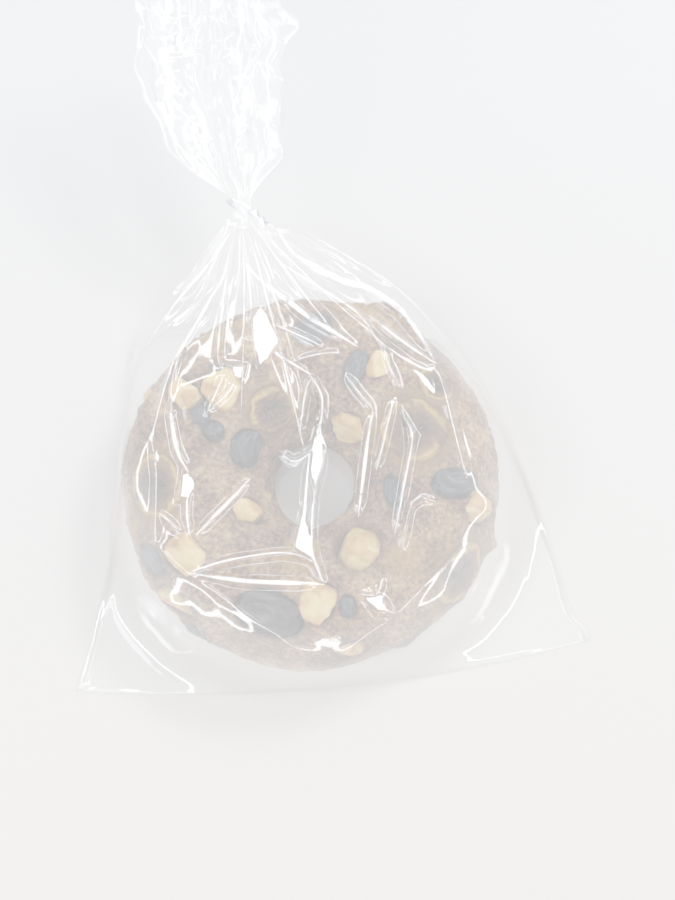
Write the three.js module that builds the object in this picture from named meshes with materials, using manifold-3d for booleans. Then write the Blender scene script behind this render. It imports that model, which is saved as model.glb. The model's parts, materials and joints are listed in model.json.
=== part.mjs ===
// A ring-shaped honey cake with nuts, raisins, a prune and banana slices baked into its top,
// in a clear film bag that is gathered behind the cake and closed with a twist tie.
// Millimetres, +Z up. The cake lies flat and the mouth of the bag points to +Y.
import * as THREE from 'three';
import { ParametricGeometry } from 'three/addons/geometries/ParametricGeometry.js';
import { mergeVertices } from 'three/addons/utils/BufferGeometryUtils.js';
import Module from 'manifold-3d';

const wasm = await Module();
wasm.setup();

// Driving dimensions
const cakeDiameter = 130;
const holeDiameter = 32;
const cakeHeight = 40;
const bulgeHeight = 16; // height at which the side is widest
const footDepth = 18; // the rounded foot would be this deep, and the tin's base cuts it flat
const filmWall = 0.6;
const gap = 0.3; // between pieces that touch
const neckRadius = 4;
const neckSlope = Math.tan(THREE.MathUtils.degToRad(22)); // rise of the tied end
const neckAt = new THREE.Vector3(-24.6, 95.8, 36);
const tieWireRadius = 0.5;
const tieTwistLength = 8;

// Shape of the crust
const domeSharpness = 2.3; // 2 is an ellipse, more is squarer
const footSharpness = 3;
const ringRadius = (cakeDiameter + holeDiameter) / 4;
const ringHalfWidth = (cakeDiameter - holeDiameter) / 4;
const cakeBase = filmWall + gap;
const doughSteps = { around: 48, roll: 20 };

// Shape of the film
const filmSteps = 36; // points round one section of the bag
const seamTilt = 0.0812; // the bottom seam is longer and further back on the right
const seamCurve = 0.000938;

const colours = {
  dough: 0x7a5238,
  nut: 0xd9ae62,
  raisin: 0x23262e,
  prune: 0x2c1c18,
  banana: 0xa8803a,
  film: 0xf2f5f6,
  tie: 0xc8ccd0,
};

function finish(colour, roughness, metalness = 0) {
  return new THREE.MeshStandardMaterial({ color: colour, roughness, metalness });
}

const finishes = {
  dough: finish(colours.dough, 0.85),
  nut: finish(colours.nut, 0.5),
  raisin: finish(colours.raisin, 0.4),
  prune: finish(colours.prune, 0.35),
  banana: finish(colours.banana, 0.55),
  film: finish(colours.film, 0.08),
  tie: finish(colours.tie, 0.3, 0.8),
};
finishes.film.transparent = true;
finishes.film.opacity = 0.3;

// A point of the crust. around goes round the ring from +X, and roll goes over it:
// 0 is the outer side, 90 the crown and 180 the wall of the hole. Both are in degrees.
function crustPoint(around, roll) {
  const a = THREE.MathUtils.degToRad(around);
  const b = THREE.MathUtils.degToRad(roll);
  const across = Math.cos(b);
  const up = Math.sin(b);
  const sharpness = up > 0 ? domeSharpness : footSharpness;
  const outward = Math.sign(across) * Math.abs(across) ** (2 / sharpness);
  const lift = Math.abs(up) ** (2 / sharpness);
  const unevenRise = 1.1 * Math.sin(3 * a + 0.5) + 0.6 * Math.sin(5 * a + 2);
  const unevenSide = 0.7 * Math.sin(2 * a + 1) + 0.4 * Math.sin(7 * a)
    + 2 * Math.max(0, Math.sin(a)) ** 2;
  const domeHeight = cakeHeight - bulgeHeight + unevenRise;
  const z = up > 0 ? bulgeHeight + domeHeight * lift : Math.max(0, bulgeHeight - footDepth * lift);
  const r = ringRadius + ringHalfWidth * outward + unevenSide * Math.max(outward, 0);
  return new THREE.Vector3(r * Math.cos(a), r * Math.sin(a), cakeBase + z);
}

// The crust's outward direction at a point, with the direction round the ring beside it.
function crustFrame(around, roll) {
  const step = 1;
  const along = crustPoint(around + step, roll).sub(crustPoint(around - step, roll)).normalize();
  const over = crustPoint(around, roll + step).sub(crustPoint(around, roll - step)).normalize();
  const normal = new THREE.Vector3().crossVectors(along, over).normalize();
  const side = new THREE.Vector3().crossVectors(normal, along);
  return new THREE.Matrix4().makeBasis(along, side, normal).setPosition(crustPoint(around, roll));
}

function shareVertices(geometry) {
  const bare = geometry.clone();
  bare.deleteAttribute('normal');
  bare.deleteAttribute('uv');
  return mergeVertices(bare, 1e-4);
}

function toSolid(geometry) {
  const shared = shareVertices(geometry);
  return new wasm.Manifold(new wasm.Mesh({
    numProp: 3,
    vertProperties: new Float32Array(shared.attributes.position.array),
    triVerts: new Uint32Array(shared.index.array),
  }));
}

function toGeometry(solid) {
  const mesh = solid.getMesh();
  const geometry = new THREE.BufferGeometry();
  geometry.setAttribute('position', new THREE.BufferAttribute(mesh.vertProperties, 3));
  geometry.setIndex(new THREE.BufferAttribute(mesh.triVerts, 1));
  geometry.computeVertexNormals();
  return geometry;
}

function largest(solid) {
  return solid.decompose().reduce((best, piece) => (piece.volume() > best.volume() ? piece : best));
}

function movePoints(geometry, change) {
  const points = geometry.attributes.position;
  const p = new THREE.Vector3();
  for (let i = 0; i < points.count; i += 1) {
    p.fromBufferAttribute(points, i);
    change(p);
    points.setXYZ(i, p.x, p.y, p.z);
  }
  geometry.computeVertexNormals();
  return geometry;
}

// A broken nut: a ball one unit in radius with flat faces broken off it. grain picks the faces.
function nutShape(grain) {
  const breaks = [];
  for (let i = 0; i < 7; i += 1) {
    const turn = 2.4 * i + 1.7 * grain;
    const height = Math.sin(2.1 * i + grain);
    const width = Math.sqrt(1 - 0.8 * height * height);
    const facing = new THREE.Vector3(width * Math.cos(turn), width * Math.sin(turn), height);
    breaks.push({ facing: facing.normalize(), depth: 0.72 + 0.1 * Math.sin(3 * i + grain) });
  }
  return movePoints(new THREE.IcosahedronGeometry(1, 1), (p) => {
    for (const { facing, depth } of breaks) {
      const reach = p.dot(facing);
      if (reach > depth) p.multiplyScalar(depth / reach);
    }
  });
}

// A raisin: a ball one unit in radius with a few long wrinkles.
function raisinShape(grain) {
  return movePoints(new THREE.IcosahedronGeometry(1, 1), (p) => {
    const turn = Math.atan2(p.z, p.y);
    p.multiplyScalar(0.93 + 0.07 * Math.sin(3 * turn + 2 * p.x + grain));
  });
}

// A slice of banana: a disc one unit in radius and half thickness, with a rounded rim.
function bananaShape() {
  const profile = [[0, -1], [0.8, -1], [1, -0.3], [1, 0.4], [0.85, 1], [0, 0.85]];
  const outline = profile.map(([r, z]) => new THREE.Vector2(r, z));
  return new THREE.LatheGeometry(outline, 16).rotateX(Math.PI / 2);
}

const shapes = { nut: nutShape, raisin: raisinShape, prune: raisinShape, banana: bananaShape };

// What is pressed into the top. around and roll say where on the crust, turn spins it about
// the crust's outward direction, size is length, width and height, and proud is how far it
// stands above the crust.
const toppings = [
  { name: 'nut_01', kind: 'nut', around: 147, roll: 67, turn: 80, size: [15, 9.5, 9], proud: 2.6 },
  { name: 'nut_02', kind: 'nut', around: 136, roll: 88, turn: 20, size: [15, 13.5, 10], proud: 3 },
  { name: 'nut_03', kind: 'nut', around: 153, roll: 20, turn: 70, size: [12, 8, 7], proud: 2 },
  { name: 'nut_04', kind: 'nut', around: 211, roll: 130, turn: 30, size: [11, 9, 8], proud: 2.6 },
  { name: 'nut_05', kind: 'nut', around: 213, roll: 72, turn: 10, size: [13.5, 12, 9], proud: 3 },
  { name: 'nut_06', kind: 'nut', around: 223, roll: 34, turn: 5, size: [15, 8, 8], proud: 2.4 },
  { name: 'nut_07', kind: 'nut', around: 54, roll: 141, turn: 60, size: [13, 11, 9], proud: 3 },
  { name: 'nut_08', kind: 'nut', around: 304, roll: 116, turn: 25, size: [17, 15.5, 11], proud: 3.4 },
  { name: 'nut_09', kind: 'nut', around: 58, roll: 84, turn: 100, size: [10, 7.5, 7], proud: 2.2 },
  { name: 'nut_10', kind: 'nut', around: 349, roll: 45, turn: 75, size: [12.5, 10.5, 10], proud: 3 },
  { name: 'nut_11', kind: 'nut', around: 274, roll: 86, turn: 60, size: [13, 11.5, 8], proud: 2.6 },
  { name: 'nut_12', kind: 'nut', around: 283, roll: 40, turn: 0, size: [11.5, 7, 7], proud: 1.8 },
  { name: 'raisin_01', kind: 'raisin', around: 151, roll: 88, turn: 40, size: [7.2, 6, 5.5], proud: 2.2 },
  { name: 'raisin_02', kind: 'raisin', around: 156, roll: 99, turn: 70, size: [8, 6.6, 6], proud: 2.6 },
  { name: 'raisin_03', kind: 'raisin', around: 156, roll: 131, turn: 20, size: [13.5, 12, 8.5], proud: 3 },
  { name: 'raisin_04', kind: 'raisin', around: 67, roll: 92, turn: 95, size: [13, 7.5, 7], proud: 2.8 },
  { name: 'raisin_05', kind: 'raisin', around: 89, roll: 68, turn: 50, size: [14, 12, 7], proud: 2 },
  { name: 'raisin_06', kind: 'raisin', around: 356, roll: 74, turn: 95, size: [15.5, 10, 8], proud: 3 },
  { name: 'raisin_07', kind: 'raisin', around: 286, roll: 80, turn: 80, size: [7.5, 6, 5], proud: 1.6 },
  { name: 'raisin_08', kind: 'raisin', around: 233, roll: 18, turn: 0, size: [11, 7.5, 6.5], proud: 2 },
  { name: 'raisin_09', kind: 'raisin', around: 208, roll: 42, turn: 15, size: [12.5, 9, 7], proud: 2 },
  { name: 'raisin_10', kind: 'raisin', around: 301, roll: 6, turn: 0, size: [8.5, 5.5, 5.5], proud: 1.6 },
  { name: 'raisin_11', kind: 'raisin', around: 348, roll: 116, turn: 30, size: [12, 6.5, 5.5], proud: 1.8 },
  { name: 'prune_01', kind: 'prune', around: 254, roll: 74, turn: 0, size: [24, 15.5, 9], proud: 2 },
  { name: 'banana_slice_1', kind: 'banana', around: 23, roll: 94, turn: 0, size: [23, 22, 5], proud: 1 },
  { name: 'banana_slice_2', kind: 'banana', around: 327, roll: 38, turn: 0, size: [22, 19, 5], proud: 1 },
  { name: 'banana_slice_3', kind: 'banana', around: 184, roll: 66, turn: 0, size: [22, 19, 5], proud: 1 },
  { name: 'banana_slice_4', kind: 'banana', around: 120, roll: 124, turn: 0, size: [18, 16, 5], proud: 1 },
  { name: 'banana_slice_5', kind: 'banana', around: 36, roll: 64, turn: 0, size: [15, 12, 5], proud: 0.8 },
];

// Only the pocket keeps a gap. The spare makes up for what the broken faces take off it.
function placeTopping({ kind, around, roll, turn, size, proud }, grain, spare = 0) {
  const [length, width, height] = size;
  const shape = shapes[kind](grain);
  shape.scale(length / 2 + spare, width / 2 + spare, height / 2 + spare);
  shape.rotateZ(THREE.MathUtils.degToRad(turn));
  shape.translate(0, 0, proud - height / 2);
  return shape.applyMatrix4(crustFrame(around, roll));
}

function makeDough() {
  const ring = new ParametricGeometry((u, v, target) => {
    target.copy(crustPoint(360 * u, 360 * v));
  }, doughSteps.around, doughSteps.roll);
  const pockets = toppings.map((topping, i) => toSolid(placeTopping(topping, i, gap + 0.1)));
  return toGeometry(largest(toSolid(ring).subtract(wasm.Manifold.union(pockets))));
}

// Sections across the bag, from the bottom seam to the mouth. y is where the section is,
// left and right are its sides, side is the height of those sides, low and high are the
// heights of its underside and top, and gathers is how deeply it is fluted.
const filmSections = [
  { y: -71.5, left: -84, right: 100, side: 0.8, low: 0.8, high: 0.8 },
  { y: -70.5, left: -83.6, right: 99, side: 0, low: 0, high: 9 },
  { y: -68.6, left: -83, right: 97.6, side: 0, low: 0, high: 21 },
  { y: -66.6, left: -82, right: 96, side: 0, low: 0, high: 32 },
  { y: -60, left: -80, right: 93, side: 0, low: 0, high: 42 },
  { y: -48, left: -77, right: 89, side: 0, low: 0, high: 46 },
  { y: -25, left: -73, right: 83, side: 0, low: 0, high: 48 },
  { y: 0, left: -72, right: 79, side: 0, low: 0, high: 48 },
  { y: 25, left: -70.5, right: 74, side: 0, low: 0, high: 48 },
  { y: 45, left: -67.5, right: 67, side: 0, low: 0, high: 47 },
  { y: 58, left: -64, right: 59, side: 0, low: 0, high: 45 },
  { y: 66.5, left: -59, right: 48, side: 2, low: 0, high: 43.5 },
  { y: 76, left: -49.5, right: 30, side: 20, low: 10, high: 42 },
  { y: 85, left: -38, right: 2, side: 29, low: 22, high: 40.5 },
];

// The tied neck and the loose end above it, as distance past the tie and half sizes. The
// pouch and the loose end are a solid each, and they meet inside the loop of the tie.
const pouchEndsAt = filmSections.length + 3;
const endSections = [
  { past: -4.6, halfWidth: 5.4, halfHeight: 5, gathers: 0 },
  { past: -2.8, halfWidth: neckRadius, halfHeight: neckRadius, gathers: 0 },
  { past: -gap / 2, halfWidth: neckRadius, halfHeight: neckRadius, gathers: 0 },
  { past: gap / 2, halfWidth: neckRadius, halfHeight: neckRadius, gathers: 0 },
  { past: 3.4, halfWidth: neckRadius, halfHeight: neckRadius, gathers: 0 },
  { past: 9, halfWidth: 10, halfHeight: 8.5, gathers: 0.06 },
  { past: 18, halfWidth: 16, halfHeight: 12, gathers: 0.1 },
  { past: 36, halfWidth: 20, halfHeight: 14, gathers: 0.12 },
  { past: 60, halfWidth: 19, halfHeight: 14, gathers: 0.12 },
  { past: 88, halfWidth: 21, halfHeight: 16, gathers: 0.14 },
];
const endLean = -0.13; // the loose end drifts to -X as it goes back
const neckChannel = 2; // radius of the way through the gathered neck

for (const { past, halfWidth, halfHeight, gathers } of endSections) {
  const middle = neckAt.x + endLean * Math.max(past, 0);
  const side = neckAt.z + neckSlope * past;
  filmSections.push({
    y: neckAt.y + past,
    left: middle - halfWidth,
    right: middle + halfWidth,
    side,
    low: side - halfHeight,
    high: side + halfHeight,
    gathers,
  });
}

// A point of the bag, outside or inside. turn goes once round a section.
function filmPoint(section, turn, inside) {
  const { y, left, right, side, low, high, gathers = 0 } = section;
  const tied = Math.abs(y - neckAt.y) < 5;
  const wall = tied ? neckRadius - neckChannel : filmWall;
  const inset = inside ? wall : 0;
  const flat = high === low;
  const squareness = y > 80 ? 2 : 4;
  const across = Math.sign(Math.cos(turn)) * Math.abs(Math.cos(turn)) ** (2 / squareness);
  const up = Math.abs(Math.sin(turn)) ** (2 / squareness);
  const halfWidth = (right - left) / 2 - inset;
  const flute = 1 + gathers * Math.sin(6 * turn + 0.07 * y);
  const x = (left + right) / 2 + halfWidth * across * flute;
  const below = Math.max(side, inside && side < filmWall ? filmWall : side);
  const roof = high - inset - below;
  const belly = below - Math.max(low + inset, 0);
  let z = below + (Math.sin(turn) > 0 ? roof : -belly) * up * flute;
  if (flat) z = inside ? low + 0.5 : low;
  const front = THREE.MathUtils.smoothstep(-y, 40, 71);
  const seam = (seamTilt * x + seamCurve * x * x) * front;
  return new THREE.Vector3(x, y + seam + front * (flat ? 3 : 1) * inset, z);
}

// A wall of film: out along its outer face, back along its inner face. A wall that is open
// at its first section too closes round that edge.
function makeFilm(sections) {
  const last = sections.length - 1;
  const closing = sections[0].high === sections[0].low ? 0 : 1;
  const rows = 2 * last + 1 + closing;
  return new ParametricGeometry((u, v, target) => {
    const row = Math.round(v * rows);
    const inside = row > last && row <= 2 * last + 1;
    const section = sections[inside ? 2 * last + 1 - row : row % (2 * last + 2)];
    target.copy(filmPoint(section, -2 * Math.PI * u, inside));
  }, filmSteps, rows);
}

// One wire, bent round the neck and twisted with itself where its ends meet.
function makeTie() {
  const axis = new THREE.Vector3(0, 1, neckSlope).normalize();
  const out = new THREE.Vector3(0.7, -0.27, 0.66);
  out.addScaledVector(axis, -out.dot(axis)).normalize();
  const across = new THREE.Vector3().crossVectors(axis, out);
  const loop = neckRadius / Math.cos(Math.atan(neckSlope)) + gap + tieWireRadius + 0.3;
  const strand = 0.95; // half the distance between the twisted ends
  const at = (o, a, x) => neckAt.clone().addScaledVector(out, o).addScaledVector(across, a)
    .addScaledVector(axis, x);
  const half = [];
  for (let i = 6; i >= 0; i -= 1) {
    const done = i / 6;
    const spin = 2.2 * Math.PI * done;
    const reach = loop + 2 + tieTwistLength * done;
    half.push([reach, strand * Math.cos(spin), strand * Math.sin(spin)]);
  }
  const route = half.map(([o, a, x]) => at(o, a, x));
  for (let i = 0; i <= 12; i += 1) {
    const angle = THREE.MathUtils.degToRad(32 + (360 - 64) * (i / 12));
    route.push(at(loop * Math.cos(angle), loop * Math.sin(angle), 0));
  }
  route.push(...half.reverse().map(([o, a, x]) => at(o, -a, -x)));
  const section = new THREE.Shape().absarc(0, 0, tieWireRadius, 0, 2 * Math.PI);
  const path = new THREE.CatmullRomCurve3(route);
  return new THREE.ExtrudeGeometry(section, { steps: 64, curveSegments: 4, extrudePath: path });
}

function addPiece(parent, name, geometry, material) {
  const mesh = new THREE.Mesh(geometry, material);
  mesh.name = name;
  parent.add(mesh);
}

const cakeInBag = new THREE.Group();
addPiece(cakeInBag, 'honey_cake', makeDough(), finishes.dough);
toppings.forEach((topping, i) => {
  addPiece(cakeInBag, topping.name, placeTopping(topping, i), finishes[topping.kind]);
});
addPiece(cakeInBag, 'film_bag', makeFilm(filmSections.slice(0, pouchEndsAt)), finishes.film);
addPiece(cakeInBag, 'film_end', makeFilm(filmSections.slice(pouchEndsAt)), finishes.film);
addPiece(cakeInBag, 'twist_tie', makeTie(), finishes.tie);

// The origin is under the middle of the whole thing, on the surface that it lies on.
const box = new THREE.Box3().setFromObject(cakeInBag, true);
const middle = box.getCenter(new THREE.Vector3());
cakeInBag.position.set(-middle.x, -middle.y, -box.min.z);

const group = new THREE.Group();
group.add(cakeInBag);
group.updateMatrixWorld(true);

export default group;
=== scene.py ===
import json
import math

import bmesh
import bpy
import numpy as np
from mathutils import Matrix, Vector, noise

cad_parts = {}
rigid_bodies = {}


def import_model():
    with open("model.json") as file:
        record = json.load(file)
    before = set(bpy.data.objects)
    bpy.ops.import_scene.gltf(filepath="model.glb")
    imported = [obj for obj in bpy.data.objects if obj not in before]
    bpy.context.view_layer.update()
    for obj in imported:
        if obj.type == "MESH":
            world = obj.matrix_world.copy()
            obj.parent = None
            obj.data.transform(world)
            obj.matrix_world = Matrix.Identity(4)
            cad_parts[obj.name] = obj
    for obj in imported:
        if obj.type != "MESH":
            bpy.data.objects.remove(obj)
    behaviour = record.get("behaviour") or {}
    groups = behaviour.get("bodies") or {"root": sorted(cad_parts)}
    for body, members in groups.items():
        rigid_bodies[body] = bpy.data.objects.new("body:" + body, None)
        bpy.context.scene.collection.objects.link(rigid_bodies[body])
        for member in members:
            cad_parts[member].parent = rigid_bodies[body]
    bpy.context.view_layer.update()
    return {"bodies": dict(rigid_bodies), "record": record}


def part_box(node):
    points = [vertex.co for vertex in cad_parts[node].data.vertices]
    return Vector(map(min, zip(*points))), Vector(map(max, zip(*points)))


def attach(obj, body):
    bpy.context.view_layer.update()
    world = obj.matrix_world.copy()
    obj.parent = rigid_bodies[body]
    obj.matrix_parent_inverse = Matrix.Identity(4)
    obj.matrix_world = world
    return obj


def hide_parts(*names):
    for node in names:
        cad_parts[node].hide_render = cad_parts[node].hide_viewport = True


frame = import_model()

scene = bpy.context.scene
body = list(frame["bodies"])[0]
# the resting face is under the middle of the ring, and lengths below are mm from that point
cakeAt = np.array(frame["record"]["mounts"][0]["pos_m"]) * 1000


def toLinear(hexColour):  # an opaque colour as the shaders want it
    parts = [int(hexColour[i:i + 2], 16) / 255 for i in (1, 3, 5)]
    return tuple(((c + 0.055) / 1.055) ** 2.4 if c > 0.04045 else c / 12.92 for c in parts) + (1.0,)


def addNode(tree, kind, settings=None, links=None):  # settings are properties or unlinked sockets
    node = tree.nodes.new(kind)
    for name, value in (settings or {}).items():
        if name == "ramp":
            ramp = node.color_ramp
            while len(ramp.elements) < len(value):
                ramp.elements.new(0.5)
            for element, (place, colour) in zip(ramp.elements, value):
                element.position, element.color = place, toLinear(colour)
        elif isinstance(name, str) and hasattr(node, name):
            setattr(node, name, value)
        else:
            node.inputs[name].default_value = value
    for name, source in (links or {}).items():
        tree.links.new(source, node.inputs[name])
    return node


def newMaterial(name):  # an empty material, its node tree, and the place on the piece
    material = bpy.data.materials.new(name)
    material.use_nodes = True
    material.node_tree.nodes.clear()
    return material, material.node_tree, addNode(material.node_tree, "ShaderNodeTexCoord").outputs["Object"]


def smoothStep(x, low, high):
    t = np.clip((np.asarray(x, float) - low) / (high - low), 0, 1)
    return t * t * (3 - 2 * t)


def noiseAt(points, size, shift=0.0):  # size is the width of one lump, in mm
    return np.array([noise.noise(p) for p in (points / size + shift).tolist()])


def unit(vector):  # the same direction, one long
    return vector / np.linalg.norm(vector)


def units(rows):
    return rows / np.linalg.norm(rows, axis=1, keepdims=True)


def addMesh(name, points, edges, faces, material=None):  # points in metres
    mesh = bpy.data.meshes.new(name)
    mesh.from_pydata(points, edges, faces)
    if material:
        mesh.materials.append(material)
    piece = bpy.data.objects.new(name, mesh)
    scene.collection.objects.link(piece)
    return piece


def newPiece(name, points, faces, material, attributes=None):
    piece = addMesh(name, ((points + cakeAt) / 1000).tolist(), [], list(map(tuple, faces)), material)
    for key, values in (attributes or {}).items():
        layer = piece.data.attributes.new(key, "FLOAT", "POINT")
        layer.data.foreach_set("value", np.asarray(values, np.float32))
    piece.data.shade_smooth()
    return piece


def gridFaces(rows, columns, closed=False):  # each row is a loop; closed joins the last row to the first
    r = np.arange(rows if closed else rows - 1)[:, None]
    c = np.arange(columns)[None, :]
    rNext, cNext = (r + 1) % rows, (c + 1) % columns
    corners = (r * columns + c, r * columns + cNext, rNext * columns + cNext, rNext * columns + c)
    return np.stack(corners, -1).reshape(-1, 4)


def triangleWave(x):  # sharp ridges one unit apart, from 0 to 1
    return 1 - 2 * np.abs(x - np.floor(x) - 0.5)


# camera, almost straight above the cake and a little to its front
viewFrom = {
    "distance": 420, "elevation": 80, "aimHeight": 18, "lens": 63.5, "sensor": 36,
    "aside": 9.3, "below": 12.0,  # how far the cake lies left of and under the aim
}


def makeCamera():
    tilt = math.radians(viewFrom["elevation"])
    back = np.array([0, -math.cos(tilt), math.sin(tilt)])
    up = np.array([0, math.sin(tilt), math.cos(tilt)])
    place = cakeAt + [0, 0, viewFrom["aimHeight"]] + back * viewFrom["distance"]
    place += up * viewFrom["below"] + np.array([viewFrom["aside"], 0, 0])
    data = bpy.data.cameras.new("camera")
    data.sensor_fit, data.sensor_width, data.lens = "HORIZONTAL", viewFrom["sensor"], viewFrom["lens"]
    data.clip_start, data.clip_end = 0.01, 20
    camera = bpy.data.objects.new("camera", data)
    camera.location, camera.rotation_euler = place / 1000, (math.pi / 2 - tilt, 0, 0)
    scene.collection.objects.link(camera)
    scene.camera = camera


makeCamera()
print("camera placed")


# studio: a pale floor, an even sky, two soft boxes, and thin strips for the film's folds
studio = {
    "sky": "#F4F6F8", "skyStrength": 0.6, "skyInGloss": 0.9,
    # the floor's two colours, painted warm light in front and painted cool light behind, where one fades
    # into the other, and half its width, in metres
    "floorNearWarmLight": "#EFE9E1", "floorFarCoolLight": "#E7EAEE", "floorFade": (-0.2, 0.16), "floorHalf": 3.0,
    # name: place in mm from the cake, size in mm, watts, colour
    "boxes": {
        "windowBox": ((620, 620, 900), (420, 190), 4.6, "#FFFFFF"),
        "fillBox": ((-700, -300, 900), (500, 400), 2.5, "#F3F7FF"),
    },
    # thin strips that only the film and the tie mirror, so that each fold shows as a bright line
    "strips": {
        "rightStrip": ((900, 0, 560), (1800, 110), 7.5, "#FFFFFF"),
        "leftStrip": ((-900, 0, 560), (1800, 110), 7.5, "#FAFCFF"),
        "backStrip": ((0, 900, 560), (1800, 110), 7.5, "#FFFFFF"),
        "frontStrip": ((0, -900, 560), (1800, 110), 7.5, "#FFFFFF"),
    },
}


shinyPieces = bpy.data.collections.new("shinyPieces")  # what the strips light


def makeSky():
    world = bpy.data.worlds.new("sky")
    world.use_nodes = True
    tree = world.node_tree
    tree.nodes.clear()
    path = addNode(tree, "ShaderNodeLightPath")
    strength = addNode(tree, "ShaderNodeMapRange", {
        "To Min": studio["skyStrength"], "To Max": studio["skyInGloss"]},
        {0: path.outputs["Is Glossy Ray"]})
    sky = addNode(tree, "ShaderNodeBackground", {"Color": toLinear(studio["sky"])},
                  {"Strength": strength.outputs[0]})
    addNode(tree, "ShaderNodeOutputWorld", {}, {"Surface": sky.outputs[0]})
    scene.world = world


def makeLamps():
    for name, (place, size, watts, colour) in {**studio["boxes"], **studio["strips"]}.items():
        data = bpy.data.lights.new(name, "AREA")
        data.shape, data.energy, data.color = "RECTANGLE", watts, toLinear(colour)[:3]
        data.size, data.size_y = size[0] / 1000, size[1] / 1000
        lamp = bpy.data.objects.new(name, data)
        lamp.location = (cakeAt + place) / 1000
        lamp.rotation_euler = (-lamp.location).to_track_quat("-Z", "Y").to_euler()
        if name in studio["strips"]:
            lamp.light_linking.receiver_collection = shinyPieces
        scene.collection.objects.link(lamp)


# matt board with painted light: warmer in front and cooler towards the back, standing in for warm and cool
# lamps
def makeFloor():
    material, tree, where = newMaterial("boardWithPaintedLightTint")
    split = addNode(tree, "ShaderNodeSeparateXYZ", {}, {0: where})
    fadeFrom, fadeTo = studio["floorFade"]
    fade = addNode(tree, "ShaderNodeMapRange", {"From Min": fadeFrom, "From Max": fadeTo},
                   {0: split.outputs["Y"]})
    # painted light: the floor's colour fades from a warm tint in front to a cool tint behind
    tone = addNode(tree, "ShaderNodeValToRGB", {
        "ramp": [(0, studio["floorNearWarmLight"]), (1, studio["floorFarCoolLight"])]}, {0: fade.outputs[0]})
    paint = addNode(tree, "ShaderNodeBsdfPrincipled", {"Roughness": 0.55, "Specular IOR Level": 0.3},
                    {"Base Color": tone.outputs[0]})
    addNode(tree, "ShaderNodeOutputMaterial", {}, {"Surface": paint.outputs[0]})
    half = studio["floorHalf"]
    corners = [(-half, -half, 0), (half, -half, 0), (half, half, 0), (-half, half, 0)]
    floor = addMesh("floor", corners, [], [(0, 1, 2, 3)], material)


makeSky()
makeLamps()
makeFloor()
print("studio ready")


# the dough ring
ring = {
    "radius": 40.5, "halfWidth": 24.5, "height": 40, "bulge": 16, "foot": 18, "base": 0.9,
    "domeSharpness": 2.3, "footSharpness": 3.0,
    "columns": 436, "topRows": 186, "underRows": 32,
    "lumps": ((13, 1.5), (5.5, 0.95), (2.4, 0.65), (1.3, 0.32)),  # width and height of each, mm
    "holeLean": 3.5,  # how much narrower the hole is at its foot
    "lip": 0.75,  # height of the dough that swelled round each topping
}


def crust(around, roll):
    a, b = np.radians(around), np.radians(roll)
    across, up = np.cos(b), np.sin(b)
    sharpness = np.where(up > 0, ring["domeSharpness"], ring["footSharpness"])
    outward = np.sign(across) * np.abs(across) ** (2 / sharpness)
    lift = np.abs(up) ** (2 / sharpness)
    rise = 1.1 * np.sin(3 * a + 0.5) + 0.6 * np.sin(5 * a + 2)
    side = 0.7 * np.sin(2 * a + 1) + 0.4 * np.sin(7 * a) + 2 * np.maximum(0, np.sin(a)) ** 2
    dome = ring["bulge"] + (ring["height"] - ring["bulge"] + rise) * lift
    foot = np.maximum(0, ring["bulge"] - ring["foot"] * lift)
    z = ring["base"] + np.where(up > 0, dome, foot)
    r = ring["radius"] + ring["halfWidth"] * outward + side * np.maximum(outward, 0)
    return np.stack([r * np.cos(a), r * np.sin(a), z], -1)


def crustFrame(around, roll):  # place, and the directions along, over and out of the crust
    along = unit(crust(around + 1, roll) - crust(around - 1, roll))
    over = unit(crust(around, roll + 1) - crust(around, roll - 1))
    out = unit(np.cross(along, over))
    return crust(around, roll), np.stack([along, np.cross(out, along), out])


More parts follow.
